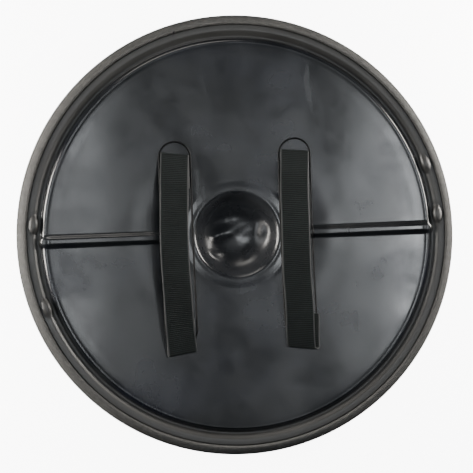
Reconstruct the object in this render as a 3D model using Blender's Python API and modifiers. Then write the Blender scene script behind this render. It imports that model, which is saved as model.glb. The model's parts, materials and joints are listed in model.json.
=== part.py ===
"""Round hand-held kick target: padded strike face, formed back shell and two webbing arm straps.

Metres, +Z up. The strike face lies down on Z = 0 and the shell with its straps faces up.
+Y runs along the straps and X along the shell's ribs. The origin is the centre of the strike face.
"""

import math

import bmesh
import bpy
from mathutils import Matrix, Vector

MM = 0.001

# Driving dimensions
DISC_RADIUS = 300 * MM
TOTAL_HEIGHT = 100 * MM
TURN_STEPS = 48
GAP = 0.3 * MM

SHELL_WALL = 3 * MM
EDGE_RADIUS = 262 * MM
EDGE_DROP = 3.8 * MM
DISH_DEPTH = 32 * MM
BOWL_DEPTH = 34 * MM
GROOVE_RADIUS = 269.5 * MM
GROOVE_DROP = 8 * MM
FLANGE_DROP = 2.5 * MM
FLANGE_INNER = 279 * MM
FLANGE_OUTER = 286 * MM

RIB_WIDTH = 18 * MM
RIB_HEIGHT = 4.5 * MM
RIB_SINK = 2.1 * MM
RIB_INNER = 88 * MM
RIB_OUTER = 272.5 * MM

BUMP_RADIUS = 277 * MM
BUMP_SIZE = (6 * MM, 11 * MM, 2.4 * MM)
BUMP_ANGLES = (3.7, 18.5, 175.1, 198.4)

STRAP_X = 83 * MM
WEB_WIDTH = 39 * MM
WEB_THICK = 2 * MM
FOLD_TOP = 113 * MM
FOLD_BOTTOM = -159 * MM
TAB_LENGTH = 44 * MM
TAB_GAP = 0.5 * MM
LAYER_STEP = 4.6 * MM
ARCH_HEIGHT = 27 * MM
ARCH_LEAN = -6 * MM
SPLIT_TOP = 72 * MM
SPLIT_BOTTOM = -114 * MM
SPLIT_GAP = 0.8 * MM
SWING_AXIS_HEIGHT = 81 * MM

SEAT_HALF_WIDTH = 21.6 * MM
SEAT_TOP = 130 * MM
SEAT_BOTTOM = -149 * MM
SEAT_BEAD = 1.6 * MM
BOTTOM_LIFT = SEAT_BEAD + GAP

RIVET_STEM = 2.4 * MM
RIVET_HEAD = 5.5 * MM
RIVET_HOLE = 2.8 * MM
RIVET_OFFSET = 9 * MM
PLATE_SIZE = (30 * MM, 38 * MM, 1.5 * MM)
PLATE_GAP = 0.6 * MM

RING_INNER = 281 * MM
RING_LEG = 3 * MM
RING_SKIRT = 30 * MM
COVER_THICK = 1.2 * MM
COVER_RADIUS = 296.7 * MM
SIDE_THICK = 1.5 * MM
PIPING_RADIUS = 2.2 * MM
PIPING_HEIGHT = 16.2 * MM
STRIKE_FOAM_TOP = 24 * MM
CORE_HOLE = 62 * MM
FOAM_RADIUS = 294.6 * MM


def clear_scene():
    for item in list(bpy.data.objects):
        bpy.data.objects.remove(item, do_unlink=True)


def new_collection(name):
    group = bpy.data.collections.new(name)
    bpy.context.scene.collection.children.link(group)
    return group


clear_scene()
PARTS = new_collection("kick_target")
CUTTERS = new_collection("cutters")


def material(name, colour, roughness, metallic=0.0):
    finish = bpy.data.materials.new(name)
    finish.use_nodes = True
    shader = finish.node_tree.nodes["Principled BSDF"]
    shader.inputs["Base Color"].default_value = (*colour, 1.0)
    shader.inputs["Roughness"].default_value = roughness
    shader.inputs["Metallic"].default_value = metallic
    return finish


SHELL_PLASTIC = material("shell_plastic", (0.035, 0.038, 0.042), 0.32)
RIM_RUBBER = material("rim_rubber", (0.045, 0.043, 0.040), 0.85)
COVER_VINYL = material("cover_vinyl", (0.025, 0.025, 0.027), 0.5)
PIPING_VINYL = material("piping_vinyl", (0.020, 0.020, 0.022), 0.4)
FOAM_FIRM = material("foam_firm", (0.30, 0.30, 0.31), 0.95)
FOAM_SOFT = material("foam_soft", (0.55, 0.55, 0.53), 0.95)
WEBBING = material("webbing", (0.018, 0.021, 0.021), 0.9)
RIVET_STEEL = material("rivet_steel", (0.50, 0.50, 0.50), 0.35, 1.0)
PLATE_STEEL = material("plate_steel", (0.55, 0.55, 0.54), 0.45, 1.0)


def add_object(name, mesh, finish, group=PARTS):
    item = bpy.data.objects.new(name, mesh)
    group.objects.link(item)
    if finish:
        item.data.materials.append(finish)
    return item


def mesh_object(name, bm, finish, group=PARTS):
    bmesh.ops.recalc_face_normals(bm, faces=bm.faces)
    mesh = bpy.data.meshes.new(name)
    bm.to_mesh(mesh)
    bm.free()
    return add_object(name, mesh, finish, group)


def cutter_object(name, bm):
    cutter = mesh_object(name, bm, None, CUTTERS)
    cutter.hide_render = True
    cutter.display_type = "WIRE"
    return cutter


def boolean(target, tool, operation):
    step = target.modifiers.new(f"{operation.lower()}_{tool.name}", "BOOLEAN")
    step.operation = operation
    step.solver = "EXACT"
    step.object = tool


def turned(name, profile, finish, closed):
    """A profile of (radius, height) points, top side outwards first, turned about Z."""
    mesh = bpy.data.meshes.new(name)
    points = [(radius, 0.0, height) for radius, height in profile]
    edges = [(i, i + 1) for i in range(len(points) - 1)]
    if closed:
        edges.append((len(points) - 1, 0))
    mesh.from_pydata(points, edges, [])
    item = add_object(name, mesh, finish)
    screw = item.modifiers.new("turn", "SCREW")
    screw.steps = TURN_STEPS
    screw.render_steps = TURN_STEPS
    screw.use_merge_vertices = True
    screw.merge_threshold = 0.00005
    screw.use_smooth_shade = True
    return item


# Shell surface

def dish_height(radius):
    edge = TOTAL_HEIGHT - EDGE_DROP
    return edge - DISH_DEPTH * (1 - (radius / EDGE_RADIUS) ** 2)


def shell_line():
    """The shell's upper side, from the middle of the bowl out to the flange's edge."""
    lip = dish_height(64 * MM)
    floor = lip - BOWL_DEPTH
    points = [(0.0, floor)]
    for radius, part in ((18, 0.02), (32, 0.10), (42, 0.24), (48, 0.44), (52, 0.68), (56, 0.90)):
        points.append((radius * MM, floor + part * BOWL_DEPTH))
    for radius in (64, 74, 100, 130, 160, 190, 220, 245):
        points.append((radius * MM, dish_height(radius * MM)))
    points += [
        (257 * MM, dish_height(258 * MM)),
        (EDGE_RADIUS, TOTAL_HEIGHT - EDGE_DROP + 0.6 * MM),
        (266 * MM, TOTAL_HEIGHT - GROOVE_DROP + 2.4 * MM),
        (GROOVE_RADIUS, TOTAL_HEIGHT - GROOVE_DROP),
        (273 * MM, TOTAL_HEIGHT - GROOVE_DROP + 2 * MM),
        (276.5 * MM, TOTAL_HEIGHT - FLANGE_DROP - 1.5 * MM),
        (FLANGE_INNER, TOTAL_HEIGHT - FLANGE_DROP),
        (FLANGE_OUTER, TOTAL_HEIGHT - FLANGE_DROP),
    ]
    return points


SHELL_LINE = shell_line()


def shell_height(radius):
    for (r0, z0), (r1, z1) in zip(SHELL_LINE, SHELL_LINE[1:]):
        if radius <= r1:
            return z0 + (z1 - z0) * (radius - r0) / (r1 - r0)
    return SHELL_LINE[-1][1]


def offset_line(points, distance):
    """The line moved down by distance along its own normals."""
    moved = []
    for i, (radius, height) in enumerate(points):
        before = points[max(i - 1, 0)]
        after = points[min(i + 1, len(points) - 1)]
        along = Vector((after[0] - before[0], after[1] - before[1])).normalized()
        down = Vector((along.y, -along.x))
        if i in (0, len(points) - 1):
            down = Vector((0.0, -1.0))
        moved.append((radius + down.x * distance, height + down.y * distance))
    return moved


def rib_height(x, y):
    """How far a rib stands above the shell at a point."""
    across = abs(y) / (RIB_WIDTH / 2)
    if across >= 1 or abs(x) < RIB_INNER:
        return 0.0
    return RIB_HEIGHT * math.sqrt(1 - across ** 2)


def surface_frame(x, y, lift=0.0):
    """A placing at a point of the shell, Z along the surface's normal, lifted along it."""
    radius = math.hypot(x, y)
    slope = 2 * DISH_DEPTH * radius / EDGE_RADIUS ** 2
    normal = Vector((-slope * x / radius, -slope * y / radius, 1.0)).normalized()
    turn = Vector((0, 0, 1)).rotation_difference(normal).to_matrix().to_4x4()
    place = Matrix.Translation(Vector((x, y, shell_height(radius))) + normal * lift)
    return place @ turn


def tube_mesh(name, points, radius, cyclic=False, tapers=None, resolution=2, flatten=1.0):
    """A tube along points as a closed mesh; flatten squeezes its height, not its route."""
    curve = bpy.data.curves.new(name, "CURVE")
    curve.dimensions = "3D"
    curve.bevel_depth = radius
    curve.bevel_resolution = resolution
    curve.use_fill_caps = not cyclic
    spline = curve.splines.new("POLY")
    spline.points.add(len(points) - 1)
    spline.use_cyclic_u = cyclic
    for i, (x, y, z) in enumerate(points):
        spline.points[i].co = (x, y, z / flatten, 1.0)
        spline.points[i].radius = tapers[i] if tapers else 1.0
    item = bpy.data.objects.new(name, curve)
    CUTTERS.objects.link(item)
    bpy.context.view_layer.update()
    mesh = bpy.data.meshes.new_from_object(item.evaluated_get(bpy.context.evaluated_depsgraph_get()))
    bpy.data.objects.remove(item, do_unlink=True)
    bm = bmesh.new()
    bm.from_mesh(mesh)
    bmesh.ops.remove_doubles(bm, verts=bm.verts, dist=0.00005)
    bmesh.ops.scale(bm, vec=(1.0, 1.0, flatten), verts=bm.verts)
    return bm


def rib_tool(side):
    """A half-round ridge from under the strap out across the panel's edge."""
    half = (RIB_HEIGHT + RIB_SINK) / 2
    lift = RIB_HEIGHT - half
    stations = [(RIB_INNER, 0.35), (RIB_INNER + 4 * MM, 0.9)]
    stations += [(radius * MM, 1.0) for radius in (98, 130, 160, 190, 220, 245)]
    stations += [(258 * MM, 1.0)]
    route = [(side * radius, 0.0, dish_height(radius) + lift) for radius, _ in stations]
    tapers = [taper for _, taper in stations]
    end_drop = 2.6 * MM
    top = TOTAL_HEIGHT - EDGE_DROP + lift
    for back, taper, drop in ((7.5, 0.98, 0.35), (4, 0.82, 0.7), (1.6, 0.55, 0.9), (0, 0.2, 1.0)):
        route.append((side * (RIB_OUTER - back * MM), 0.0, top - drop * end_drop))
        tapers.append(taper)
    flatten = half / (RIB_WIDTH / 2)
    bm = tube_mesh("rib", route, RIB_WIDTH / 2, tapers=tapers, resolution=2, flatten=flatten)
    return cutter_object("rib_right_form" if side > 0 else "rib_left_form", bm)


def bump_tool(index, angle):
    bm = bmesh.new()
    bmesh.ops.create_uvsphere(bm, u_segments=12, v_segments=6, radius=1.0)
    turn = Matrix.Rotation(math.radians(angle), 4, "Z")
    place = turn @ Matrix.Translation((BUMP_RADIUS, 0, TOTAL_HEIGHT - FLANGE_DROP))
    bm.transform(place @ Matrix.Diagonal((*BUMP_SIZE, 1.0)))
    return cutter_object(f"bump_form_{index}", bm)


def seat_tool(side):
    """The thin raised line round a strap's place, a long ring with round ends."""
    cx = side * STRAP_X
    top = SEAT_TOP - SEAT_HALF_WIDTH
    bottom = SEAT_BOTTOM + SEAT_HALF_WIDTH
    plan = []
    for i in range(9):
        angle = math.pi * i / 8
        plan.append((cx + SEAT_HALF_WIDTH * math.cos(angle), top + SEAT_HALF_WIDTH * math.sin(angle)))
    straight = (80, 50, 25, 12, 9, 6, 0, -6, -9, -12, -25, -60, -100)
    plan += [(cx - SEAT_HALF_WIDTH, y * MM) for y in straight]
    for i in range(9):
        angle = math.pi * (1 + i / 8)
        plan.append((cx + SEAT_HALF_WIDTH * math.cos(angle), bottom + SEAT_HALF_WIDTH * math.sin(angle)))
    plan += [(cx + SEAT_HALF_WIDTH, y * MM) for y in reversed(straight)]
    route = [(x, y, shell_height(math.hypot(x, y)) + rib_height(x, y)) for x, y in plan]
    bm = tube_mesh("seat", route, SEAT_BEAD, cyclic=True, resolution=1)
    return cutter_object("seat_right_form" if side > 0 else "seat_left_form", bm)


def cylinder(bm, radius, low, high, place, segments=12):
    size = high - low
    middle = place @ Matrix.Translation((0, 0, (high + low) / 2))
    bmesh.ops.create_cone(
        bm, cap_ends=True, segments=segments, radius1=radius, radius2=radius, depth=size, matrix=middle
    )


def box(bm, size, low, high, place):
    middle = place @ Matrix.Translation((0, 0, (high + low) / 2))
    scale = Matrix.Diagonal((size[0], size[1], high - low, 1.0))
    return bmesh.ops.create_cube(bm, size=1.0, matrix=middle @ scale)


# Where each strap end is held: (side name, sign of X, end name, fold's Y, way to the middle)
ENDS = [
    (side, sign, end, fold, inward)
    for side, sign in (("left", -1), ("right", 1))
    for end, fold, inward in (("top", FOLD_TOP, -1), ("bottom", FOLD_BOTTOM, 1))
]


def rivet_places(sign, fold, inward):
    middle = fold + inward * TAB_LENGTH * 0.55
    return [(sign * STRAP_X, middle + way * RIVET_OFFSET) for way in (-1, 1)]


def plate_place(sign, fold, inward):
    return surface_frame(sign * STRAP_X, fold + inward * TAB_LENGTH * 0.55)


def rivet_hole_tool():
    bm = bmesh.new()
    for _, sign, _, fold, inward in ENDS:
        for x, y in rivet_places(sign, fold, inward):
            cylinder(bm, RIVET_HOLE, -12 * MM, 8 * MM, surface_frame(x, y), segments=10)
    return cutter_object("rivet_holes", bm)


def back_shell(holes):
    underside = offset_line(SHELL_LINE, SHELL_WALL)
    shell = turned("back_shell", SHELL_LINE + underside[::-1], SHELL_PLASTIC, closed=False)
    for tool in (rib_tool(-1), rib_tool(1)):
        boolean(shell, tool, "UNION")
    for index, angle in enumerate(BUMP_ANGLES):
        boolean(shell, bump_tool(index, angle), "UNION")
    for side in (-1, 1):
        boolean(shell, seat_tool(side), "UNION")
    boolean(shell, holes, "DIFFERENCE")
    return shell


def rim_ring():
    """Rubber trim: a leg under the shell's flange, a rounded crown and a skirt."""
    top = TOTAL_HEIGHT
    flange = top - FLANGE_DROP
    leg_top = flange - SHELL_WALL - GAP
    inner = FLANGE_OUTER + 0.4 * MM
    profile = [
        (RING_INNER, leg_top),
        (inner, leg_top),
        (inner, flange + 0.1 * MM),
        (289 * MM, top),
        (292.6 * MM, top - 1.2 * MM),
        (296.4 * MM, top - 4.4 * MM),
        (299 * MM, top - 9 * MM),
        (DISC_RADIUS, top - 14.5 * MM),
        (DISC_RADIUS, top - RING_SKIRT),
        (DISC_RADIUS - RING_LEG, top - RING_SKIRT),
        (DISC_RADIUS - RING_LEG, top - 15 * MM),
        (294.4 * MM, top - 10.6 * MM),
        (290.6 * MM, leg_top - RING_LEG),
        (RING_INNER, leg_top - RING_LEG),
    ]
    return turned("rim_ring", profile, RIM_RUBBER, closed=True)


def cover_side_band():
    low = PIPING_HEIGHT + PIPING_RADIUS + GAP
    high = TOTAL_HEIGHT - RING_SKIRT + 13 * MM
    profile = [
        (COVER_RADIUS - SIDE_THICK, high),
        (COVER_RADIUS, high),
        (COVER_RADIUS, low),
        (COVER_RADIUS - SIDE_THICK, low),
    ]
    return turned("cover_side_band", profile, COVER_VINYL, closed=True)


def front_piping():
    profile = []
    centre = COVER_RADIUS - 0.2 * MM
    for i in range(8):
        angle = math.pi - 2 * math.pi * i / 8
        height = PIPING_HEIGHT + PIPING_RADIUS * math.sin(angle)
        profile.append((centre + PIPING_RADIUS * math.cos(angle), height))
    return turned("front_piping", profile, PIPING_VINYL, closed=True)


def cover_front():
    edge = PIPING_HEIGHT - PIPING_RADIUS - GAP
    inside = [(0, 1.2), (283, 1.2), (289.8, 3.2), (294, 8)]
    outside = [(295.3, 7.2), (291, 2.2), (283.6, 0), (0, 0)]
    profile = [(radius * MM, height * MM) for radius, height in inside]
    profile += [(COVER_RADIUS - COVER_THICK, edge), (COVER_RADIUS, edge)]
    profile += [(radius * MM, height * MM) for radius, height in outside]
    return turned("cover_front", profile, COVER_VINYL, closed=False)


def foam_strike_layer():
    shoulder = [(FOAM_RADIUS / MM - 0.8, 14), (292.2, 9), (288, 4.2), (282.4, 1.6), (0, 1.6)]
    profile = [(0, STRIKE_FOAM_TOP), (FOAM_RADIUS - 0.8 * MM, STRIKE_FOAM_TOP)]
    profile += [(radius * MM, height * MM) for radius, height in shoulder]
    return turned("foam_strike_layer", profile, FOAM_SOFT, closed=False)


def foam_core():
    """Firm foam between the strike layer and the shell, open under the bowl."""
    clearance = SHELL_WALL + 0.6 * MM
    top = [(CORE_HOLE, dish_height(CORE_HOLE) - clearance - 1.5 * MM)]
    for radius in (78, 110, 145, 180, 215, 240):
        top.append((radius * MM, dish_height(radius * MM) - clearance - 0.5 * MM))
    shelf = TOTAL_HEIGHT - GROOVE_DROP - SHELL_WALL - 0.8 * MM
    top += [(250 * MM, shelf - 0.6 * MM), (290 * MM, shelf - 0.6 * MM), (FOAM_RADIUS, shelf - 5 * MM)]
    bottom = STRIKE_FOAM_TOP + GAP
    profile = top + [(FOAM_RADIUS, bottom), (CORE_HOLE, bottom)]
    core = turned("foam_core", profile, FOAM_FIRM, closed=True)
    bm = bmesh.new()
    for _, sign, _, fold, inward in ENDS:
        size = (PLATE_SIZE[0] + 4 * MM, PLATE_SIZE[1] + 4 * MM)
        box(bm, size, -12 * MM, 0, plate_place(sign, fold, inward))
    boolean(core, cutter_object("plate_pockets", bm), "DIFFERENCE")
    return core


# Straps

def slack(y, ends):
    """0 at the webbing's two folds, 1 in the middle of its arch."""
    (y0, _), (y1, _) = ends
    return 1 - abs(2 * (y - y0) / (y1 - y0) - 1) ** 2.2


def arch(y, ends):
    """Height of the webbing's middle layer above the shell between its two folds."""
    (y0, h0), (y1, h1) = ends
    base = h0 + (h1 - h0) * (y - y0) / (y1 - y0)
    return base + (ARCH_HEIGHT - (h0 + h1) / 2) * slack(y, ends)


def fold_ends():
    upper = WEB_THICK / 2 + TAB_GAP + LAYER_STEP
    radius = LAYER_STEP / 2
    return (FOLD_BOTTOM + radius, upper + BOTTOM_LIFT), (FOLD_TOP - radius, upper)


def ribbon(name, sign, line):
    """Webbing along (y, height above the shell, sideways lean) points, given its thickness by Solidify."""
    bm = bmesh.new()
    left = [bm.verts.new((lean - WEB_WIDTH / 2, y, h)) for y, h, lean in line]
    edges = [bm.edges.new(pair) for pair in zip(left, left[1:])]
    for _ in range(2):
        grown = bmesh.ops.extrude_edge_only(bm, edges=edges)["geom"]
        moved = [item for item in grown if isinstance(item, bmesh.types.BMVert)]
        bmesh.ops.translate(bm, vec=(WEB_WIDTH / 2, 0, 0), verts=moved)
        edges = [item for item in grown if isinstance(item, bmesh.types.BMEdge)]
        edges = [edge for edge in edges if abs(edge.verts[0].co.x - edge.verts[1].co.x) < WEB_WIDTH / 4]
    for vert in bm.verts:
        vert.co.x += sign * STRAP_X
        vert.co.z += shell_height(math.hypot(vert.co.x, vert.co.y))
    item = mesh_object(name, bm, WEBBING)
    wall = item.modifiers.new("webbing", "SOLIDIFY")
    wall.thickness = WEB_THICK
    wall.offset = 0.0
    wall.use_even_offset = True
    return item


def anchor_line(fold, inward, lift, split, ends):
    """Lower layer from the tab's end out to the fold, then the upper layer back to the split."""
    radius = LAYER_STEP / 2
    turn = fold + inward * radius
    low = WEB_THICK / 2 + TAB_GAP + lift
    line = [(turn + inward * TAB_LENGTH * part, low, 0.0) for part in (0.96, 0.66, 0.33, 0.0)]
    for i in range(1, 6):
        angle = math.pi * i / 6
        line.append((turn - inward * radius * math.sin(angle), low + radius - radius * math.cos(angle), 0.0))
    span = split - turn
    for i in range(7):
        y = turn + span * i / 6
        line.append((y, arch(y, ends), ARCH_LEAN * slack(y, ends)))
    return line


def band_line(ends):
    low = SPLIT_BOTTOM + SPLIT_GAP
    span = SPLIT_TOP - SPLIT_GAP - low
    ys = [low + span * i / 12 for i in range(13)]
    return [(y, arch(y, ends), ARCH_LEAN * slack(y, ends)) for y in ys]


def strap(side, sign, holes):
    ends = fold_ends()
    top = ribbon(f"strap_{side}_top_end", sign, anchor_line(FOLD_TOP, -1, 0.0, SPLIT_TOP, ends))
    bottom = ribbon(
        f"strap_{side}_bottom_end", sign, anchor_line(FOLD_BOTTOM, 1, BOTTOM_LIFT, SPLIT_BOTTOM, ends)
    )
    for item in (top, bottom):
        boolean(item, holes, "DIFFERENCE")
    pivot = Vector((sign * STRAP_X, 0.0, SWING_AXIS_HEIGHT))
    band = ribbon(f"strap_{side}_band", sign, band_line(ends))
    band.data.transform(Matrix.Translation(-pivot))
    band.location = pivot


def rivet_profile(lift):
    """A rivet's outline from the middle of its head to the middle of its tail."""
    seat = lift + WEB_THICK + TAB_GAP + GAP
    plate = -(SHELL_WALL + PLATE_GAP + PLATE_SIZE[2] + GAP)
    return [
        (0, seat + 1.6 * MM),
        (RIVET_HEAD * 0.6, seat + 1.4 * MM),
        (RIVET_HEAD, seat + 0.6 * MM),
        (RIVET_HEAD, seat),
        (RIVET_STEM, seat),
        (RIVET_STEM, plate),
        (RIVET_HEAD * 0.8, plate),
        (RIVET_HEAD * 0.7, plate - 1.4 * MM),
        (0, plate - 1.6 * MM),
    ]


def rivets(side, sign, end, fold, inward):
    lift = BOTTOM_LIFT if end == "bottom" else 0.0
    for number, (x, y) in enumerate(rivet_places(sign, fold, inward), start=1):
        bm = bmesh.new()
        verts = [bm.verts.new((radius, 0, height)) for radius, height in rivet_profile(lift)]
        edges = [bm.edges.new(pair) for pair in zip(verts, verts[1:])]
        bmesh.ops.spin(
            bm, geom=verts + edges, axis=(0, 0, 1), cent=(0, 0, 0),
            steps=10, angle=2 * math.pi, use_merge=True,
        )
        bmesh.ops.remove_doubles(bm, verts=bm.verts, dist=0.00002)
        bm.transform(surface_frame(x, y))
        mesh_object(f"strap_{side}_{end}_rivet_{number}", bm, RIVET_STEEL)


def backing_plate(side, sign, end, fold, inward, holes):
    bm = bmesh.new()
    high = -(SHELL_WALL + PLATE_GAP)
    box(bm, PLATE_SIZE, high - PLATE_SIZE[2], high, plate_place(sign, fold, inward))
    item = mesh_object(f"strap_{side}_{end}_plate", bm, PLATE_STEEL)
    boolean(item, holes, "DIFFERENCE")


def build():
    holes = rivet_hole_tool()
    back_shell(holes)
    rim_ring()
    cover_side_band()
    front_piping()
    cover_front()
    foam_strike_layer()
    foam_core()
    for side, sign in (("left", -1), ("right", 1)):
        strap(side, sign, holes)
    for side, sign, end, fold, inward in ENDS:
        rivets(side, sign, end, fold, inward)
        backing_plate(side, sign, end, fold, inward, holes)


build()
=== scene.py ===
"""The look of the round kick target: formed shell, rubber rim, sewn cover and webbing straps."""

import json
import math

import bmesh
import bpy
import numpy as np
from mathutils import Matrix, Vector


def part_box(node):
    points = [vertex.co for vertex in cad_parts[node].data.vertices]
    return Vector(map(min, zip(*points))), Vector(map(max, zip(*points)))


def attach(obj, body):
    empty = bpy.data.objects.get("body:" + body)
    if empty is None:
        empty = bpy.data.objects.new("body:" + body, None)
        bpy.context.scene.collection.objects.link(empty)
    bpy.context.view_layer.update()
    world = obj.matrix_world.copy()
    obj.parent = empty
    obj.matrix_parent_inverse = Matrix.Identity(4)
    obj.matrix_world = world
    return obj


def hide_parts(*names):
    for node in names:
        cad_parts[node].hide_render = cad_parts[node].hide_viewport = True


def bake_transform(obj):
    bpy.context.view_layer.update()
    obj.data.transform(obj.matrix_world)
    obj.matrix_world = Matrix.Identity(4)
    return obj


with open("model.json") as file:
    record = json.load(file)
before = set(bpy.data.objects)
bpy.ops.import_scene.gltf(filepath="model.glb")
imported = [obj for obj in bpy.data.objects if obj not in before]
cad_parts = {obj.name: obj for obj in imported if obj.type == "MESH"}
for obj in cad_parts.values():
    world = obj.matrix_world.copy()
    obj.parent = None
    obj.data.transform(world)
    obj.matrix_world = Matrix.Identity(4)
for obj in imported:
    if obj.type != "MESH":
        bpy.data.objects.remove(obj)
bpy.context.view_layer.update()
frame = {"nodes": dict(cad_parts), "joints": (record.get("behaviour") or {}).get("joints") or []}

MM = 0.001
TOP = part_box("rim_ring")[1].z
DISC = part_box("rim_ring")[1].x
STRAP_X = max(joint["pos_m"][0] for joint in frame["joints"])
SIDES = {-1: "left", 1: "right"}

# Shell, drawn from its bowl outwards
EDGE = 262 * MM
EDGE_Z = TOP - 3.8 * MM
DISH = 32 * MM
BOWL_LIP = 64 * MM
BOWL = 34 * MM
FLANGE_Z = TOP - 2.5 * MM
GROOVE_Z = TOP - 8 * MM
WALL = 3 * MM
SHELL_STEPS = 304

# How strongly the shell's spokes gather near its ribs and bumps
CROWDING = 0.72

RIB_HALF = 9.2 * MM
RIB_RISE = 4.6 * MM
RIB_IN = 96 * MM
RIB_OUT = 263.5 * MM
BUMP_RING = 277 * MM
BUMP_ANGLES = (3.7, 18.5, 175.1, 198.4)
VENT_ANGLE = math.radians(106)
VENT_RING = 287.2 * MM

# Dents in the bowl: middle x and y, half length, half width (mm), turn (degrees), rise (mm)
BOWL_DENTS = (
    (-17.5, 2, 24, 10, 20, -4.5),
    (14, 33, 18, 4.5, -23, 2.2),
    (38, 3, 13, 8, 80, 3.0),
    (16, -26, 10, 3.4, 53, 1.8),
    (-27, -26, 12, 5.5, -24, 2.4),
    (18, 6, 18, 11, 10, 1.8),
    (-6, 26, 18, 7, 12, -2.0),
)

# Webbing
WEB = 39 * MM
WEB_THICK = 2 * MM
FOLD_TOP = 113 * MM
FOLD_BOTTOM = -159 * MM
TAB = 44 * MM
TAB_GAP = 0.5 * MM
LAYER = 4.6 * MM
ARCH = 27 * MM
ARCH_LEAN = -6 * MM
RIB_PITCH = 2.6 * MM
SELVEDGE = 0.86

SEAT_HALF = 21.6 * MM
SEAT_TOP = 130 * MM
SEAT_BOTTOM = -149 * MM
SEAT_WIRE = 1.6 * MM
BOTTOM_LIFT = SEAT_WIRE + 0.3 * MM

# Sewn cover
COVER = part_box("cover_side_band")[1].x
BAND_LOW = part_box("cover_side_band")[0].z
BAND_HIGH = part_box("cover_side_band")[1].z
PIPING_Z = (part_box("front_piping")[0].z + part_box("front_piping")[1].z) / 2
PIPING = (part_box("front_piping")[1].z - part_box("front_piping")[0].z) / 2
SKIRT_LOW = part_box("rim_ring")[0].z
VINYL_THICK = 1.2 * MM


# Materials

def new_material(name):
    finish = bpy.data.materials.new(name)
    finish.use_nodes = True
    return finish, finish.node_tree, finish.node_tree.nodes["Principled BSDF"]


def node(tree, kind, **values):
    made = tree.nodes.new(kind)
    for key, value in values.items():
        if key in made.inputs:
            made.inputs[key].default_value = value
        else:
            setattr(made, key.lower(), value)
    return made


def object_coords(tree):
    return node(tree, "ShaderNodeTexCoord").outputs["Object"]


def mapping(tree, vector, scale, turn=0.0):
    made = node(tree, "ShaderNodeMapping")
    made.inputs["Scale"].default_value = scale
    made.inputs["Rotation"].default_value = (0.0, 0.0, math.radians(turn))
    tree.links.new(vector, made.inputs["Vector"])
    return made.outputs["Vector"]


def noise(tree, vector, scale, detail=4.0, roughness=0.55):
    made = node(tree, "ShaderNodeTexNoise", Scale=scale, Detail=detail, Roughness=roughness)
    tree.links.new(vector, made.inputs["Vector"])
    return made.outputs["Fac"]


def spread(tree, value, low, high, start=0.3, end=0.7):
    """A value between start and end, eased into one between low and high."""
    made = node(tree, "ShaderNodeMapRange")
    made.inputs["From Min"].default_value = start
    made.inputs["From Max"].default_value = end
    made.inputs["To Min"].default_value = low
    made.inputs["To Max"].default_value = high
    made.interpolation_type = "SMOOTHSTEP"
    tree.links.new(value, made.inputs["Value"])
    return made.outputs["Result"]


def tint(tree, value, dark, light, start=0.3, end=0.7):
    made = node(tree, "ShaderNodeValToRGB")
    made.color_ramp.elements[0].position = start
    made.color_ramp.elements[0].color = (*dark, 1.0)
    made.color_ramp.elements[1].position = end
    made.color_ramp.elements[1].color = (*light, 1.0)
    tree.links.new(value, made.inputs["Fac"])
    return made.outputs["Color"]


def combine(tree, first, second, operation="ADD"):
    made = node(tree, "ShaderNodeMath")
    made.operation = operation
    tree.links.new(first, made.inputs[0])
    tree.links.new(second, made.inputs[1])
    return made.outputs[0]


def blend_colour(tree, share, first, second):
    made = node(tree, "ShaderNodeMix")
    made.data_type = "RGBA"
    tree.links.new(share, made.inputs["Factor"])
    tree.links.new(first, made.inputs["A"])
    tree.links.new(second, made.inputs["B"])
    return made.outputs["Result"]


def relief(tree, shader, height, distance, strength=1.0):
    bump = node(tree, "ShaderNodeBump")
    bump.inputs["Strength"].default_value = strength
    bump.inputs["Distance"].default_value = distance
    tree.links.new(height, bump.inputs["Height"])
    tree.links.new(bump.outputs["Normal"], shader.inputs["Normal"])


def from_middle(tree, place):
    """Distance from the disc's axis."""
    flat = mapping(tree, place, (1.0, 1.0, 0.0))
    made = node(tree, "ShaderNodeVectorMath")
    made.operation = "LENGTH"
    tree.links.new(flat, made.inputs[0])
    return made.outputs["Value"]


def scratches(tree, place, turn, scale, low, high):
    """Thin long marks that run one way, as a value that is low nearly everywhere."""
    marks = noise(tree, mapping(tree, place, (1.0, 0.035, 1.0), turn), scale, 2.0, 0.4)
    return spread(tree, marks, low, high, 0.70, 0.78)


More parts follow.
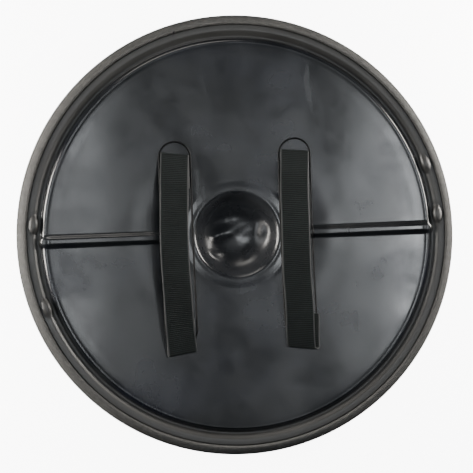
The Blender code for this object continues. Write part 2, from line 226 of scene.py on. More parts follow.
def shell_plastic():
    """Formed plastic: softly glossy panel with smudges and scratches, duller bowl whose colour is lightened
    with painted light, grained flange.
    """
    finish, tree, shader = new_material("shell_plastic")
    place = object_coords(tree)
    reach = from_middle(tree, place)
    flange = spread(tree, reach, 0.0, 1.0, 0.2655, 0.2705)
    panel = spread(tree, reach, 0.0, 1.0, 0.050, 0.070)
    clouds = noise(tree, place, 11.0, 5.0, 0.62)
    grain = noise(tree, place, 640.0, 2.0, 0.6)
    stained = noise(tree, mapping(tree, place, (1.0, 1.6, 1.0), 30.0), 8.0, 3.0, 0.5)
    smudges = spread(tree, stained, 0.0, 1.0, 0.44, 0.74)
    sheet = tint(tree, clouds, (0.0034, 0.0041, 0.0050), (0.0130, 0.0141, 0.0156))
    stain = tint(tree, clouds, (0.0020, 0.0026, 0.0052), (0.0046, 0.0056, 0.0100))
    smudged = blend_colour(tree, smudges, sheet, stain)
    # Painted light: the bowl is the panel's plastic made about three times paler, standing in for light its
    # steep hollow doesn't catch.
    bowl = tint(tree, clouds, (0.0150, 0.0162, 0.0186), (0.0300, 0.0315, 0.0345))
    inside = blend_colour(tree, panel, bowl, smudged)
    outside = tint(tree, clouds, (0.016, 0.0157, 0.0150), (0.027, 0.0265, 0.0253))
    tree.links.new(blend_colour(tree, flange, inside, outside), shader.inputs["Base Color"])
    patches = noise(tree, place, 26.0, 3.0, 0.55)
    rough = combine(tree, spread(tree, clouds, -0.035, 0.06), spread(tree, panel, 0.26, 0.185, 0.0, 1.0))
    rough = combine(tree, rough, spread(tree, smudges, 0.0, 0.06, 0.0, 1.0))
    rough = combine(tree, rough, spread(tree, patches, -0.012, 0.02))
    rough = combine(tree, rough, spread(tree, flange, 0.0, 0.24, 0.0, 1.0))
    rough = combine(tree, rough, scratches(tree, place, 24.0, 38.0, 0.0, 0.20))
    rough = combine(tree, rough, scratches(tree, place, -58.0, 31.0, 0.0, 0.20))
    tree.links.new(rough, shader.inputs["Roughness"])
    shader.inputs["Specular IOR Level"].default_value = 0.55
    height = combine(tree, combine(tree, grain, flange, "MULTIPLY"), clouds)
    relief(tree, shader, height, 0.0005, 0.22)
    return finish


def painted_shade_seat_and_vent_plastic():
    finish, tree, shader = new_material("painted_shade_seat_and_vent_plastic")
    wear = noise(tree, object_coords(tree), 240.0, 3.0)
    # Painted shade: this near-black colour makes the raised seat lines far darker than the shell plastic they
    # are moulded from; the vent plug also uses it, as its own dark colour.
    colour = tint(tree, wear, (0.0008, 0.0009, 0.0012), (0.0022, 0.0024, 0.0028))
    tree.links.new(colour, shader.inputs["Base Color"])
    tree.links.new(spread(tree, wear, 0.42, 0.6), shader.inputs["Roughness"])
    shader.inputs["Specular IOR Level"].default_value = 0.14
    relief(tree, shader, wear, 0.0002, 0.3)
    return finish


def rim_rubber():
    finish, tree, shader = new_material("rim_rubber")
    place = object_coords(tree)
    grain = noise(tree, place, 760.0, 3.0, 0.65)
    clouds = noise(tree, place, 15.0, 5.0, 0.6)
    streaks = noise(tree, place, 150.0, 3.0, 0.6)
    base = tint(tree, clouds, (0.034, 0.0332, 0.0318), (0.050, 0.0490, 0.0468))
    worn = tint(tree, streaks, (0.024, 0.0235, 0.0225), (0.078, 0.0765, 0.073))
    mixed = node(tree, "ShaderNodeMix")
    mixed.data_type = "RGBA"
    mixed.inputs["Factor"].default_value = 0.45
    tree.links.new(base, mixed.inputs["A"])
    tree.links.new(worn, mixed.inputs["B"])
    tree.links.new(mixed.outputs["Result"], shader.inputs["Base Color"])
    tree.links.new(spread(tree, clouds, 0.62, 0.78), shader.inputs["Roughness"])
    relief(tree, shader, grain, 0.0014, 0.9)
    return finish


def vinyl(name, dark, light, rough):
    finish, tree, shader = new_material(name)
    place = object_coords(tree)
    cells = node(tree, "ShaderNodeTexVoronoi", Scale=430.0)
    cells.feature = "DISTANCE_TO_EDGE"
    tree.links.new(place, cells.inputs["Vector"])
    clouds = noise(tree, place, 16.0)
    wear = noise(tree, place, 70.0, 5.0, 0.7)
    tree.links.new(tint(tree, clouds, dark, light), shader.inputs["Base Color"])
    dullness = spread(tree, clouds, rough - 0.05, rough + 0.06)
    dullness = combine(tree, dullness, spread(tree, wear, -0.04, 0.05))
    tree.links.new(dullness, shader.inputs["Roughness"])
    pebbles = spread(tree, cells.outputs["Distance"], 0.0, 1.0, 0.0, 0.22)
    relief(tree, shader, combine(tree, pebbles, wear), 0.0004, 0.6)
    return finish


def foam(name, dark, light):
    finish, tree, shader = new_material(name)
    pores = noise(tree, object_coords(tree), 700.0, 2.0, 0.7)
    tree.links.new(tint(tree, pores, dark, light), shader.inputs["Base Color"])
    shader.inputs["Roughness"].default_value = 0.95
    relief(tree, shader, pores, 0.0008, 0.8)
    return finish


def metal(name, colour, rough):
    finish, tree, shader = new_material(name)
    place = object_coords(tree)
    grain = noise(tree, mapping(tree, place, (1.0, 0.1, 1.0)), 900.0, 3.0)
    shader.inputs["Base Color"].default_value = (*colour, 1.0)
    shader.inputs["Metallic"].default_value = 1.0
    tree.links.new(spread(tree, grain, rough - 0.08, rough + 0.1), shader.inputs["Roughness"])
    relief(tree, shader, grain, 0.0002, 0.3)
    return finish


def webbing():
    """Cross-ribbed webbing: its yarns follow the strip's own map, and its fuzz lies on them."""
    finish, tree, shader = new_material("webbing")
    mapped = node(tree, "ShaderNodeUVMap").outputs["UV"]
    place = object_coords(tree)
    yarn = node(tree, "ShaderNodeTexWave", Scale=1.0, Distortion=1.5)
    yarn.bands_direction = "X"
    tree.links.new(mapping(tree, mapped, (420.0, 90.0, 1.0)), yarn.inputs["Vector"])
    fuzz = noise(tree, place, 1100.0, 2.0, 0.6)
    clouds = noise(tree, place, 26.0)
    # Painted shade: a wave in step with the cross ribs darkens the colour in their valleys, where shade
    # falls.
    rib_valley_shade = node(tree, "ShaderNodeTexWave", Scale=math.pi / 10 / RIB_PITCH)
    rib_valley_shade.bands_direction = "Y"
    tree.links.new(mapped, rib_valley_shade.inputs["Vector"])
    colour = tint(tree, clouds, (0.0078, 0.0112, 0.0112), (0.0126, 0.0174, 0.0172))
    # The near-black valley colour is that painted shade.
    low = tint(tree, clouds, (0.0006, 0.0008, 0.0008), (0.0010, 0.0013, 0.0013))
    tree.links.new(blend_colour(tree, rib_valley_shade.outputs["Fac"], colour, low), shader.inputs["Base Color"])
    shader.inputs["Specular IOR Level"].default_value = 0.15
    tree.links.new(spread(tree, fuzz, 0.72, 0.92), shader.inputs["Roughness"])
    shader.inputs["Sheen Weight"].default_value = 0.03
    shader.inputs["Sheen Roughness"].default_value = 0.45
    relief(tree, shader, combine(tree, yarn.outputs["Fac"], fuzz), 0.0003, 0.6)
    return finish


def selvedge():
    """The webbing's woven edge, of paler, shinier yarn than its face."""
    finish, tree, shader = new_material("selvedge")
    place = object_coords(tree)
    fuzz = noise(tree, place, 1300.0, 2.0, 0.6)
    colour = tint(tree, fuzz, (0.0045, 0.0055, 0.0056), (0.0150, 0.0170, 0.0175))
    tree.links.new(colour, shader.inputs["Base Color"])
    shader.inputs["Roughness"].default_value = 0.62
    relief(tree, shader, fuzz, 0.0003, 0.6)
    return finish


def thread():
    finish, tree, shader = new_material("thread")
    twist = noise(tree, object_coords(tree), 1500.0, 2.0)
    colour = tint(tree, twist, (0.012, 0.013, 0.013), (0.035, 0.036, 0.036))
    tree.links.new(colour, shader.inputs["Base Color"])
    shader.inputs["Roughness"].default_value = 0.6
    relief(tree, shader, twist, 0.0002, 0.6)
    return finish


SHELL = shell_plastic()
PAINTED_SHADE_SEAT_AND_VENT = painted_shade_seat_and_vent_plastic()
RUBBER = rim_rubber()
VINYL = vinyl("cover_vinyl", (0.020, 0.020, 0.022), (0.032, 0.032, 0.034), 0.45)
PIPING_FINISH = vinyl("piping_vinyl", (0.016, 0.016, 0.018), (0.024, 0.024, 0.026), 0.36)
FOAM_SOFT = foam("foam_soft", (0.45, 0.45, 0.43), (0.62, 0.62, 0.60))
FOAM_FIRM = foam("foam_firm", (0.22, 0.22, 0.23), (0.33, 0.33, 0.34))
RIVET = metal("rivet_steel", (0.50, 0.50, 0.50), 0.35)
PLATE = metal("plate_steel", (0.55, 0.55, 0.54), 0.45)
WEBBING = webbing()
SELVEDGE_YARN = selvedge()
THREAD = thread()


# Mesh helpers

def piece(name, bm, finishes, body="root", replaces=(), recalc=True):
    """The finished mesh as a piece that rides on a body."""
    if recalc:
        bmesh.ops.recalc_face_normals(bm, faces=bm.faces)
    mesh = bpy.data.meshes.new(name)
    bm.to_mesh(mesh)
    bm.free()
    for face in mesh.polygons:
        face.use_smooth = True
    for finish in finishes:
        mesh.materials.append(finish)
    made = bpy.data.objects.new(name, mesh)
    bpy.context.scene.collection.objects.link(made)
    if body:
        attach(made, body)
    if replaces:
        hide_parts(*replaces)
    return made


def rounded(points, per_span=6):
    """A smooth line through control points, keeping their order (Catmull-Rom)."""
    pts = [Vector(p) for p in points]
    pts = [pts[0] * 2 - pts[1]] + pts + [pts[-1] * 2 - pts[-2]]
    line = []
    for a, b, c, d in zip(pts, pts[1:], pts[2:], pts[3:]):
        square = 2 * a - 5 * b + 4 * c - d
        cube = 3 * b - a - 3 * c + d
        for i in range(per_span):
            t = i / per_span
            line.append(0.5 * (2 * b + (c - a) * t + square * t * t + cube * t ** 3))
    line.append(pts[-2])
    return line


def spun(profile, steps, closed=False):
    """A line of (radius, height) points turned once about Z, or a closed section when closed is set."""
    bm = bmesh.new()
    verts = [bm.verts.new((radius, 0.0, height)) for radius, height in profile]
    ends = verts[1:] + verts[:1] if closed else verts[1:]
    edges = [bm.edges.new(pair) for pair in zip(verts, ends)]
    bmesh.ops.spin(
        bm, geom=verts + edges, axis=(0, 0, 1), cent=(0, 0, 0), steps=steps, angle=2 * math.pi, use_merge=True
    )
    bmesh.ops.remove_doubles(bm, verts=bm.verts, dist=0.000002)
    return bm


def coordinates(bm):
    return np.array([vert.co for vert in bm.verts])


def smooth_step(value):
    value = np.clip(value, 0.0, 1.0)
    return value * value * (3 - 2 * value)


# The shell's surface

def dish_z(radius):
    return EDGE_Z - DISH * (1 - (radius / EDGE) ** 2)


def shell_profile():
    """The shell's upper side, with the crease where the panel turns down to the bowl."""
    lip = dish_z(BOWL_LIP)
    floor = lip - BOWL
    bowl = [(0, 0.0), (18, 0.045), (32, 0.16), (42, 0.33), (48, 0.51), (52, 0.69), (56, 0.87), (60, 0.965)]
    points = [(radius * MM, floor + part * BOWL) for radius, part in bowl]
    crease = ((66, -0.7), (70.5, -0.3), (74, 0.05), (77, 0.0), (80, -0.08))
    points += [(radius * MM, dish_z(radius * MM) + rise * MM) for radius, rise in crease]
    points += [(radius * MM, dish_z(radius * MM)) for radius in range(86, 256, 9)]
    points += [
        (257 * MM, dish_z(258 * MM)),
        (EDGE, EDGE_Z + 0.5 * MM),
        (265.2 * MM, EDGE_Z - 1.4 * MM),
        (267.2 * MM, GROOVE_Z + 0.9 * MM),
        (269.5 * MM, GROOVE_Z),
        (272 * MM, GROOVE_Z + 1.0 * MM),
        (276 * MM, FLANGE_Z - 1.2 * MM),
        (279 * MM, FLANGE_Z),
        (286 * MM, FLANGE_Z),
    ]
    return rounded(points, 4)


PROFILE = shell_profile()
PROFILE_R = np.array([p.x for p in PROFILE])
PROFILE_Z = np.array([p.y for p in PROFILE])


def rib_share(x, y):
    """1 on a rib's top, 0 off the rib, with a round outer end."""
    along = np.clip(np.abs(x), RIB_IN, RIB_OUT)
    away = np.hypot(np.abs(x) - along, y) / RIB_HALF
    return smooth_step((1 - away) / 0.72)


def bowl_dents(x, y):
    """Dimples and creases left in the bowl when the sheet was formed."""
    rise = np.zeros_like(x)
    for mid_x, mid_y, half_long, half_wide, turn, height in BOWL_DENTS:
        angle = math.radians(turn)
        across_x = x - mid_x * MM
        across_y = y - mid_y * MM
        along = (across_x * math.cos(angle) + across_y * math.sin(angle)) / (half_long * MM)
        side = (across_y * math.cos(angle) - across_x * math.sin(angle)) / (half_wide * MM)
        rise = rise + height * MM * np.exp(-1.4 * (along ** 2 + side ** 2))
    return rise


def panel_waves(x, y):
    """Slow waves in the formed sheet, a few tenths of a millimetre high."""
    radius = np.hypot(x, y)
    rings = np.sin((radius - 84 * MM) / (9.2 * MM)) * smooth_step((radius - 78 * MM) / (14 * MM))
    rings = rings * smooth_step((170 * MM - radius) / (50 * MM))
    slow = np.sin(x / (31 * MM) + 1.2) * np.sin(y / (37 * MM) + 0.4)
    cross = np.sin((x + 0.6 * y) / (17 * MM) + 0.5) * np.sin((y - 0.4 * x) / (23 * MM) + 2.1)
    return (0.13 * rings + 0.12 * slow + 0.07 * cross) * MM


def surface(x, y):
    """The shell's upper surface at any point, with ribs, bumps, dents and waves."""
    radius = np.hypot(x, y)
    height = np.interp(radius, PROFILE_R, PROFILE_Z)
    crest = dish_z(np.minimum(radius, 256 * MM)) + RIB_RISE
    crest = crest - smooth_step((radius - 258 * MM) / (14 * MM)) * 3.2 * MM
    share = rib_share(x, y)
    height = height + share * np.maximum(crest - height, 0.0)
    for angle in BUMP_ANGLES:
        turn = math.radians(angle)
        out = (x * math.cos(turn) + y * math.sin(turn) - BUMP_RING) / (6.5 * MM)
        side = (-x * math.sin(turn) + y * math.cos(turn)) / (11.5 * MM)
        reach = np.hypot(out, side)
        dome = np.clip(1 - reach ** 2, 0.0, 1.0) ** 0.55
        height = height + dome * np.maximum(TOP + 0.1 * MM - height, 0.0)
        height = height - 0.9 * MM * np.exp(-((reach - 1.22) / 0.16) ** 2)
    in_bowl = smooth_step((58 * MM - radius) / (12 * MM))
    on_panel = smooth_step((radius - 56 * MM) / (14 * MM)) * smooth_step((256 * MM - radius) / (20 * MM))
    return height + in_bowl * bowl_dents(x, y) + on_panel * panel_waves(x, y)


def make_shell():
    bm = spun(PROFILE, SHELL_STEPS)
    for vert in bm.verts:
        radius = math.hypot(vert.co.x, vert.co.y)
        angle = math.atan2(vert.co.y, vert.co.x)
        angle -= CROWDING / 2 * math.sin(2 * angle)
        vert.co.x = radius * math.cos(angle)
        vert.co.y = radius * math.sin(angle)
    co = coordinates(bm)
    for vert, height in zip(bm.verts, surface(co[:, 0], co[:, 1])):
        vert.co.z = float(height)
    bmesh.ops.recalc_face_normals(bm, faces=bm.faces)
    if sum(face.normal.z for face in bm.faces) < 0:
        bmesh.ops.reverse_faces(bm, faces=bm.faces)
    shell = piece("shell_panel", bm, [SHELL], replaces=["back_shell"], recalc=False)
    wall = shell.modifiers.new("wall", "SOLIDIFY")
    wall.thickness = WALL * 0.8
    wall.offset = -1.0


def seat_line(sign):
    """The raised line round a strap's place: two straight sides and two half circles."""
    bm = bmesh.new()
    upright = Matrix.Translation((SEAT_HALF, 0, 0)) @ Matrix.Rotation(math.pi / 2, 4, "X")
    start = bmesh.ops.create_circle(bm, segments=10, radius=SEAT_WIRE * 0.85, matrix=upright)["verts"]
    loop = list({edge for vert in start for edge in vert.link_edges})
    high = SEAT_TOP - SEAT_HALF
    low = SEAT_BOTTOM + SEAT_HALF

    def run(edges, length, steps):
        for _ in range(steps):
            grown = bmesh.ops.extrude_edge_only(bm, edges=edges)["geom"]
            verts = [item for item in grown if isinstance(item, bmesh.types.BMVert)]
            bmesh.ops.translate(bm, vec=(0, length / steps, 0), verts=verts)
            level = verts[0].co.y
            edges = [item for item in grown if isinstance(item, bmesh.types.BMEdge)]
            edges = [edge for edge in edges if all(abs(v.co.y - level) < 0.0001 * MM for v in edge.verts)]
        return edges

    def bend(edges, centre, steps=24):
        verts = list({vert for edge in edges for vert in edge.verts})
        last = bmesh.ops.spin(
            bm, geom=verts + edges, axis=(0, 0, 1), cent=centre, steps=steps, angle=math.pi
        )
        return [item for item in last["geom_last"] if isinstance(item, bmesh.types.BMEdge)]

    bmesh.ops.translate(bm, vec=(0, low, 0), verts=start)
    side = run(loop, high - low, 120)
    side = bend(side, (0, high, 0))
    side = run(side, low - high, 120)
    bend(side, (0, low, 0))
    bmesh.ops.remove_doubles(bm, verts=bm.verts, dist=0.00001)
    co = coordinates(bm)
    ground = surface(co[:, 0] + sign * STRAP_X, co[:, 1])
    for vert, height in zip(bm.verts, ground):
        vert.co.x += sign * STRAP_X
        vert.co.z += float(height)
    piece(f"seat_line_{SIDES[sign]}", bm, [PAINTED_SHADE_SEAT_AND_VENT])


def make_rim():
    """Rubber trim with a rounded crown, a skirt and its leg under the shell's flange."""
    leg = FLANGE_Z - WALL - 0.3 * MM
    crown = rounded([
        (286.4 * MM, FLANGE_Z + 0.2 * MM), (287.4 * MM, TOP - 0.5 * MM), (289 * MM, TOP),
        (292.6 * MM, TOP - 1.2 * MM), (296.4 * MM, TOP - 4.4 * MM), (299 * MM, TOP - 9 * MM),
        (DISC, TOP - 14.5 * MM), (DISC, TOP - 22 * MM), (DISC, SKIRT_LOW + 0.8 * MM),
        (DISC - 1.5 * MM, SKIRT_LOW),
    ], 4)
    inner = [
        (DISC - 3 * MM, SKIRT_LOW + 0.5 * MM), (DISC - 3 * MM, TOP - 15 * MM), (294.4 * MM, TOP - 10.6 * MM),
        (290.6 * MM, leg - 3 * MM), (281 * MM, leg - 3 * MM), (281 * MM, leg), (286.4 * MM, leg),
    ]
    bm = spun([tuple(p) for p in crown] + inner, 288, closed=True)
    piece("rim_trim", bm, [RUBBER], replaces=["rim_ring"])


def make_vent_nick():
    """The dark mould vent plug in the top of the rubber crown."""
    bm = bmesh.new()
    bmesh.ops.create_uvsphere(bm, u_segments=20, v_segments=10, radius=1.0)
    bmesh.ops.scale(bm, vec=(3.2 * MM, 1.3 * MM, 0.6 * MM), verts=bm.verts)
    bmesh.ops.rotate(bm, cent=(0, 0, 0), matrix=Matrix.Rotation(VENT_ANGLE - 0.6, 3, "Z"), verts=bm.verts)
    middle = (VENT_RING * math.cos(VENT_ANGLE), VENT_RING * math.sin(VENT_ANGLE), TOP - 0.55 * MM)
    bmesh.ops.translate(bm, vec=middle, verts=bm.verts)
    piece("vent_nick", bm, [PAINTED_SHADE_SEAT_AND_VENT])


# Webbing

# How each strap end differs from a straight fold: shift along X, and rise along Y per metre across
END_SHIFT = {(-1, 1): 0.0, (1, 1): 0.0, (-1, -1): 0.0, (1, -1): -3 * MM}
END_SLANT = {(-1, 1): -0.11, (1, 1): -0.10, (-1, -1): 0.14, (1, -1): -0.12}
TAB_SHIFT = {(-1, 1): 0.0, (1, 1): 0.0, (-1, -1): -1.5 * MM, (1, -1): 6.5 * MM}


def strap_line():
    """One strap's middle line as (y, height above the shell, 1 in its under layer) from tab to tab."""
    radius = LAYER / 2
    low = WEB_THICK / 2 + TAB_GAP
    turn = FOLD_TOP - radius
    end = FOLD_BOTTOM + radius
    h0 = low + LAYER
    h1 = low + LAYER + BOTTOM_LIFT
    points = [(turn - TAB * part, low, 1.0) for part in np.linspace(1, 0, 12)]
    for i in range(1, 12):
        angle = math.pi * i / 12
        points.append((turn + radius * math.sin(angle), low + radius - radius * math.cos(angle), 1 - i / 12))
    for part in np.linspace(0, 1, 121):
        base = h0 + (h1 - h0) * part
        rise = (ARCH - (h0 + h1) / 2) * (1 - abs(2 * part - 1) ** 2.2)
        points.append((turn + (end - turn) * part, base + rise, 0.0))
    for i in range(1, 12):
        angle = math.pi * i / 12
        points.append((end - radius * math.sin(angle), h1 - radius + radius * math.cos(angle), i / 12))
    points += [(end + TAB * part, h1 - LAYER, 1.0) for part in np.linspace(0, 1, 12)]
    return np.array(points)


LINE = strap_line()
LENGTHS = np.concatenate([[0.0], np.cumsum(np.hypot(*np.diff(LINE[:, :2], axis=0).T))])
MIDDLE = round(LENGTHS[-1] / 2 / RIB_PITCH) * RIB_PITCH


def strap_at(s):
    """The strap line's y, height, under-layer share and direction at lengths s."""
    y, height, under = (np.interp(s, LENGTHS, LINE[:, k]) for k in range(3))
    ahead = 0.4 * MM
    dy = np.interp(s + ahead, LENGTHS, LINE[:, 0]) - np.interp(s - ahead, LENGTHS, LINE[:, 0])
    dh = np.interp(s + ahead, LENGTHS, LINE[:, 1]) - np.interp(s - ahead, LENGTHS, LINE[:, 1])
    size = np.hypot(dy, dh)
    return y, height, under, dy / size, dh / size


def webbing_section(x, s, y, under):
    """Half the webbing's thickness at a place across (x from -1 to 1) and along it."""
    from_edge = 1 - np.abs(x)
    face = smooth_step((from_edge - (1 - SELVEDGE)) / 0.04)
    end = smooth_step(np.minimum(FOLD_TOP - 26 * MM - y, y - (FOLD_BOTTOM + 24 * MM)) / (14 * MM))
    ribs = (0.5 - 0.5 * np.cos(2 * math.pi * s / RIB_PITCH)) * face * (0.15 + 0.85 * end) * (1 - under)
    cords = (0.5 - 0.5 * np.cos(2 * math.pi * from_edge * (WEB / 2) / (0.9 * MM))) * (1 - face)
    body = 1 - 0.42 * (1 - np.clip(from_edge / 0.05, 0.0, 1.0)) ** 2
    return WEB_THICK / 2 * body - 0.5 * MM * ribs - 0.2 * MM * cords


def webbing_half(sign, start, end, name):
    """Half of a strap between two lengths along it, with its cross ribs and woven edges."""
    steps = round((end - start) / (RIB_PITCH / 6))
    bm = bmesh.new()
    bmesh.ops.create_cube(bm, size=1.0)
    across = [e for e in bm.edges if abs(e.verts[0].co.x - e.verts[1].co.x) > 0.5]
    bmesh.ops.subdivide_edges(bm, edges=across, cuts=25, use_grid_fill=True)
    along = [e for e in bm.edges if abs(e.verts[0].co.y - e.verts[1].co.y) > 0.5]
    bmesh.ops.subdivide_edges(bm, edges=along, cuts=steps - 1, use_grid_fill=True)
    uv = bm.loops.layers.uv.new("strip")
    co = coordinates(bm)
    x = co[:, 0] * 2
    x = np.where(np.abs(x) > 0.6, np.sign(x) * (0.84 + (np.abs(x) - 0.6) * 0.4), x * 1.4)
    s = start + (co[:, 1] + 0.5) * (end - start)
    y, height, under, dy, dh = strap_at(s)
    out = np.where(co[:, 2] > 0, -1.0, 1.0) * webbing_section(x, s, y, under)
    where = np.where(y > (FOLD_TOP + FOLD_BOTTOM) / 2, 1, -1)
    near_end = smooth_step(1 - np.minimum(FOLD_TOP - y, y - FOLD_BOTTOM) / (75 * MM))
    slant = np.where(where > 0, END_SLANT[sign, 1], END_SLANT[sign, -1]) * near_end
    shift = np.where(where > 0, END_SHIFT[sign, 1], END_SHIFT[sign, -1]) * near_end
    shift = shift + np.where(where > 0, TAB_SHIFT[sign, 1], TAB_SHIFT[sign, -1]) * under
    part = (y - FOLD_BOTTOM) / (FOLD_TOP - FOLD_BOTTOM)
    lean = ARCH_LEAN * (1 - np.abs(2 * part - 1) ** 2.2) * (1 - under)
    wobble = 0.5 * MM * np.sin(y / (23 * MM) + sign) * (1 - near_end)
    flat_x = x * WEB / 2
    new_x = sign * STRAP_X + flat_x + shift + lean + wobble
    new_y = y + slant * flat_x + out * -dh
    curl = -0.7 * MM * (1 - near_end) * x ** 2
    new_z = height + out * dy + curl + dish_z(np.hypot(new_x, new_y))
    for vert, place in zip(bm.verts, zip(new_x, new_y, new_z)):
        vert.co = place
    bm.verts.index_update()
    for face in bm.faces:
        edge_strip = True
        for loop in face.loops:
            at = loop.vert.index
            loop[uv].uv = (float(flat_x[at]), float(s[at]))
            edge_strip = edge_strip and abs(x[at]) > SELVEDGE + 0.02
        face.material_index = 1 if edge_strip else 0

    def closes_end(face):
        return len({round(float(s[vert.index]) / MM, 4) for vert in face.verts}) == 1

    for face in bm.faces:
        if closes_end(face):
            for edge in face.edges:
                inside_end = all(closes_end(other) for other in edge.link_faces)
                edge.smooth = len(edge.link_faces) == 2 and inside_end
    half_strap = piece(name, bm, [WEBBING, SELVEDGE_YARN], body=None)
    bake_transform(half_strap)
    return half_strap


def make_straps():
    for sign, side in SIDES.items():
        upper = webbing_half(
            sign, 0.0, MIDDLE, f"webbing_{side}_upper"
        )
        lower = webbing_half(
            sign, MIDDLE, LENGTHS[-1], f"webbing_{side}_lower"
        )
        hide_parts(f"strap_{side}_top_end", f"strap_{side}_band")
        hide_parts(f"strap_{side}_bottom_end")


# Sewn cover

def fill_out(item, held, pressure, cap, frames=18):
    """Blows a sewn skin out from its held seams, as stuffing does, and keeps the result on its mesh."""
    start = np.array([vert.co for vert in item.data.vertices])
    pins = item.vertex_groups.new(name="seams")
    pins.add([int(i) for i in np.flatnonzero(held)], 1.0, "REPLACE")
    cloth = item.modifiers.new("cloth", "CLOTH")
    cloth.settings.quality = 5
    cloth.settings.mass = 0.25
    cloth.settings.tension_stiffness = 12
    cloth.settings.compression_stiffness = 12
    cloth.settings.bending_stiffness = 0.4
    cloth.settings.shrink_min = -0.035
    cloth.settings.use_pressure = True
    cloth.settings.uniform_pressure_force = pressure
    cloth.settings.vertex_group_mass = pins.name
    cloth.settings.effector_weights.gravity = 0.0
    cloth.collision_settings.use_collision = False
    scene = bpy.context.scene
    for frame_number in range(1, frames + 1):
        scene.frame_set(frame_number)
    shown = item.evaluated_get(bpy.context.evaluated_depsgraph_get())
    moved = np.array([vert.co for vert in shown.data.vertices]) - start
    item.modifiers.remove(cloth)
    item.vertex_groups.remove(pins)
    scene.frame_set(1)
    length = np.linalg.norm(moved, axis=1, keepdims=True)
    moved = moved * np.minimum(1.0, cap / np.maximum(length, cap * 0.001))
    for vert, place in zip(item.data.vertices, start + moved):
        vert.co = place


def finish_skin(item, lowest=None):
    """Gives a skin its thickness and smooth surface; nothing goes below what it rests on."""
    if lowest is not None:
        for vert in item.data.vertices:
            vert.co.z = max(vert.co.z, lowest)
    skin = item.modifiers.new("skin", "SOLIDIFY")
    skin.thickness = VINYL_THICK
    skin.offset = -1.0
    smooth = item.modifiers.new("smooth", "SUBSURF")
    smooth.levels = 1
    smooth.render_levels = 1


def face_out(bm, inside):
    """Turns a skin's faces away from a point inside it."""
    bmesh.ops.recalc_face_normals(bm, faces=bm.faces)
    score = sum((face.calc_center_median() - inside).dot(face.normal) for face in bm.faces)
    if score < 0:
        bmesh.ops.reverse_faces(bm, faces=bm.faces)


def pucker(angle, seed):
    """A wave round the disc that doesn't repeat at an even pitch."""
    return np.sin(61 * angle + 2.3 * np.sin(5 * angle + seed)) * (0.6 + 0.4 * np.sin(11 * angle + seed))


def make_side_band():
    """The cover's side wall: a strip held at the piping and under the trim, crowned between them."""
    low, high = BAND_LOW, BAND_HIGH
    rows = np.linspace(0.0, 1.0, 13)
    profile = [(COVER, low + (high - low) * part) for part in rows]
    bm = spun(profile, 288)
    for vert in bm.verts:
        angle = math.atan2(vert.co.y, vert.co.x)
        part = (vert.co.z - low) / (high - low)
        crown = 0.9 * MM * math.sin(math.pi * part)
        wrinkle = 0.3 * MM * float(pucker(angle, 0.4)) * (1 - part) * part * 4
        swell = crown + wrinkle
        scale = 1 + swell / COVER
        vert.co.x *= scale
        vert.co.y *= scale
    face_out(bm, Vector((0, 0, (low + high) / 2)))
    band = piece(
        "side_cover", bm, [VINYL], replaces=["cover_side_band"], recalc=False
    )
    heights = np.array([vert.co.z for vert in band.data.vertices])
    held = (heights < low + 4 * MM) | (heights > SKIRT_LOW - 4 * MM)
    fill_out(band, held, 3.0, 2.6 * MM)
    finish_skin(band)


def make_strike_cover():
    """The strike face: flat where it rests, rounded up to the piping, with puckers near its seam."""
    seam = PIPING_Z - PIPING - 0.3 * MM
    edge = [(283.6, 0.0), (288.4, 0.7), (292.2, 2.8), (294.8, 6.0), (296.2, 9.6), (296.6, seam / MM)]
    profile = [(radius * MM, 0.0) for radius in range(0, 276, 11)]
    profile += [tuple(p) for p in rounded([(radius * MM, height * MM) for radius, height in edge], 2)]
    bm = spun(profile, 240)
    for vert in bm.verts:
        radius = math.hypot(vert.co.x, vert.co.y)
        angle = math.atan2(vert.co.y, vert.co.x)
        near = smooth_step((radius - 284 * MM) / (8 * MM)) * smooth_step((seam - vert.co.z) / (5 * MM))
        scale = 1 + float(near * pucker(angle, 1.7)) * 0.5 * MM / COVER
        vert.co.x *= scale
        vert.co.y *= scale
    face_out(bm, Vector((0, 0, seam)))
    front = piece(
        "strike_face", bm, [VINYL], replaces=["cover_front"], recalc=False
    )
    places = np.array([vert.co for vert in front.data.vertices])
    held = (places[:, 2] > seam - 2.5 * MM) | (np.hypot(places[:, 0], places[:, 1]) < 262 * MM)
    fill_out(front, held, 3.0, 1.6 * MM)
    finish_skin(front, lowest=0.0)


def make_piping():
    """A covered cord round the strike face, dented a little at each stitch."""
    section = [
        (COVER + PIPING * math.cos(a) - 0.2 * MM, PIPING_Z + PIPING * math.sin(a))
        for a in np.linspace(0, 2 * math.pi, 16, endpoint=False)
    ]
    bm = spun(section, 720, closed=True)
    for vert in bm.verts:
        angle = math.atan2(vert.co.y, vert.co.x)
        dent = 0.12 * MM * math.sin(180 * angle) + 0.08 * MM * math.sin(47 * angle + 1.0)
        scale = 1 + dent / COVER
        vert.co.x *= scale
        vert.co.y *= scale
    piece("edge_piping", bm, [PIPING_FINISH], replaces=["front_piping"])


def stitch_row(name, radius, height, pitch, length, turn=0.0):
    """Stitches round the cover, each one a short pressed-in bead of thread."""
    count = round(2 * math.pi * radius / pitch)
    bm = bmesh.new()
    for i in range(count):
        place = Matrix.Rotation(2 * math.pi * i / count, 4, "Z") @ Matrix.Translation((radius, 0, height))
        shape = Matrix.Rotation(turn, 4, "X") @ Matrix.Diagonal((0.45 * MM, length / 2, 0.45 * MM, 1.0))
        bmesh.ops.create_icosphere(bm, subdivisions=1, radius=1.0, matrix=place @ shape)
    piece(name, bm, [THREAD])


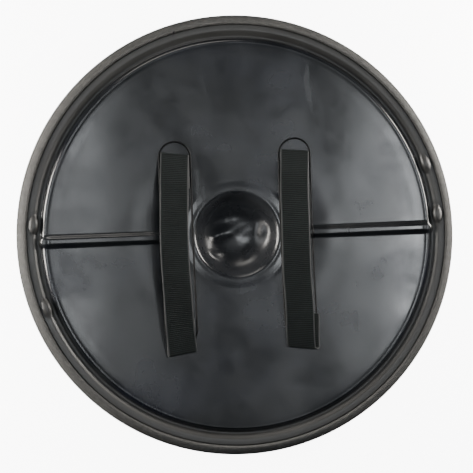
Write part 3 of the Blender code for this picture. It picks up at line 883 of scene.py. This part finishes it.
def seam_overlap(name, angle):
    """Where the side band's strip ends lap: a narrow raised strip."""
    width = 9 * MM
    low = BAND_LOW + 0.5 * MM
    high = SKIRT_LOW + 2 * MM
    bm = bmesh.new()
    proud = Matrix.Translation((COVER + 0.9 * MM, 0, (low + high) / 2))
    place = Matrix.Rotation(math.radians(angle), 4, "Z") @ proud
    size = Matrix.Diagonal((1.0 * MM, width, high - low, 1.0))
    bmesh.ops.create_cube(bm, size=1.0, matrix=place @ size)
    tall = [edge for edge in bm.edges if abs(edge.verts[0].co.z - edge.verts[1].co.z) > 10 * MM]
    bmesh.ops.subdivide_edges(bm, edges=tall, cuts=14, use_grid_fill=True)
    for vert in bm.verts:
        part = (vert.co.z - low) / (high - low)
        scale = 1 + 2.2 * MM * math.sin(math.pi * min(max(part, 0.0), 1.0)) / COVER
        vert.co.x *= scale
        vert.co.y *= scale
    strip = piece(name, bm, [VINYL])
    edges = strip.modifiers.new("edges", "BEVEL")
    edges.width = 0.4 * MM
    edges.segments = 2


def make_cover():
    make_side_band()
    make_strike_cover()
    make_piping()
    stitch_row("skirt_stitches", DISC + 0.05 * MM, SKIRT_LOW + 4 * MM, 5.2 * MM, 3.6 * MM)
    stitch_row("piping_stitches", COVER + 0.25 * MM, BAND_LOW + 2.2 * MM, 4.6 * MM, 3.2 * MM)
    for name, angle in (("side_seam_top", 90), ("side_seam_bottom", 270)):
        seam_overlap(name, angle)


# Carried-over pieces

def dress_cad():
    finishes = {"foam_strike_layer": FOAM_SOFT, "foam_core": FOAM_FIRM}
    for name, item in frame["nodes"].items():
        finish = finishes.get(name)
        if "rivet" in name:
            finish = RIVET
        if "plate" in name:
            finish = PLATE
        if finish:
            item.data.materials.clear()
            item.data.materials.append(finish)


# Floor, light and camera

FLOOR_GLOW = 8.0
CAMERA_REACH = 1.7
CAMERA_YAW = math.radians(-7.32)
CAMERA_PITCH = math.radians(0.39)
CAMERA_ROLL = math.radians(-2.34)


def floor():
    bm = bmesh.new()
    bmesh.ops.create_grid(bm, x_segments=1, y_segments=1, size=6.0)
    finish, _, shader = new_material("floor_paper")
    shader.inputs["Base Color"].default_value = (0.92, 0.92, 0.92, 1.0)
    shader.inputs["Roughness"].default_value = 0.9
    shader.inputs["Emission Color"].default_value = (1.0, 1.0, 1.0, 1.0)
    shader.inputs["Emission Strength"].default_value = FLOOR_GLOW
    mesh = bpy.data.meshes.new("floor")
    bm.to_mesh(mesh)
    bm.free()
    mesh.materials.append(finish)
    ground = bpy.data.objects.new("floor", mesh)
    bpy.context.scene.collection.objects.link(ground)
    ground.location.z = -0.5 * MM
    # The paper is bright but doesn't light the disc from below.
    ground.visible_diffuse = False
    ground.visible_glossy = False


def soft_light(name, place, size, power, colour, target=(0, 0, 0.08)):
    lamp = bpy.data.lights.new(name, "AREA")
    lamp.shape = "RECTANGLE"
    lamp.size, lamp.size_y = size
    lamp.energy = power
    lamp.color = colour
    holder = bpy.data.objects.new(name, lamp)
    bpy.context.scene.collection.objects.link(holder)
    holder.location = place
    holder.rotation_euler = (Vector(target) - Vector(place)).to_track_quat("-Z", "Y").to_euler()


def light_scene():
    warm = (1.0, 0.96, 0.90)
    cool = (0.93, 0.97, 1.0)
    soft_light("left_low", (-0.84, 0.10, 0.25), (0.5, 0.22), 18, warm)
    soft_light("right_low", (0.81, 0.25, 0.25), (0.5, 0.22), 17, warm)
    soft_light("left_mid", (-1.1, 0.0, 1.1), (0.6, 0.4), 2.5, cool)
    soft_light("right_mid", (1.1, 0.0, 1.1), (0.6, 0.4), 2.5, cool)
    soft_light("left_box", (-0.25, 0.0, 2.3), (0.7, 0.28), 9.5, cool)
    soft_light("right_box", (0.84, -0.02, 2.3), (0.8, 0.28), 5.6, cool)
    soft_light("ceiling", (0.2, 0.0, 2.35), (2.4, 1.2), 3.2, cool)
    soft_light("top_low", (-0.2, 0.95, 0.40), (0.6, 0.3), 3.2, warm)
    world = bpy.data.worlds.new("studio")
    bpy.context.scene.world = world
    world.use_nodes = True
    back = world.node_tree.nodes["Background"]
    back.inputs["Color"].default_value = (0.9, 0.93, 1.0, 1.0)
    back.inputs["Strength"].default_value = 0.03


def make_camera():
    """Nearly straight above, a little to the left of the disc and turned a little."""
    aim = Vector((0, 0, TOP))
    lens = bpy.data.cameras.new("camera")
    lens.sensor_width = 36
    lens.lens = 95.5
    lens.shift_x = -0.0082
    lens.shift_y = -0.0046
    view = bpy.data.objects.new("camera", lens)
    bpy.context.scene.collection.objects.link(view)
    tilt = Matrix.Rotation(CAMERA_YAW, 4, "Y") @ Matrix.Rotation(CAMERA_PITCH, 4, "X")
    turn = tilt @ Matrix.Rotation(CAMERA_ROLL, 4, "Z")
    view.matrix_world = Matrix.Translation(aim) @ turn @ Matrix.Translation((0, 0, CAMERA_REACH))
    bpy.context.scene.camera = view


make_shell()
for way in SIDES:
    seat_line(way)
make_rim()
make_vent_nick()
make_straps()
make_cover()
dress_cad()
floor()
light_scene()
make_camera()
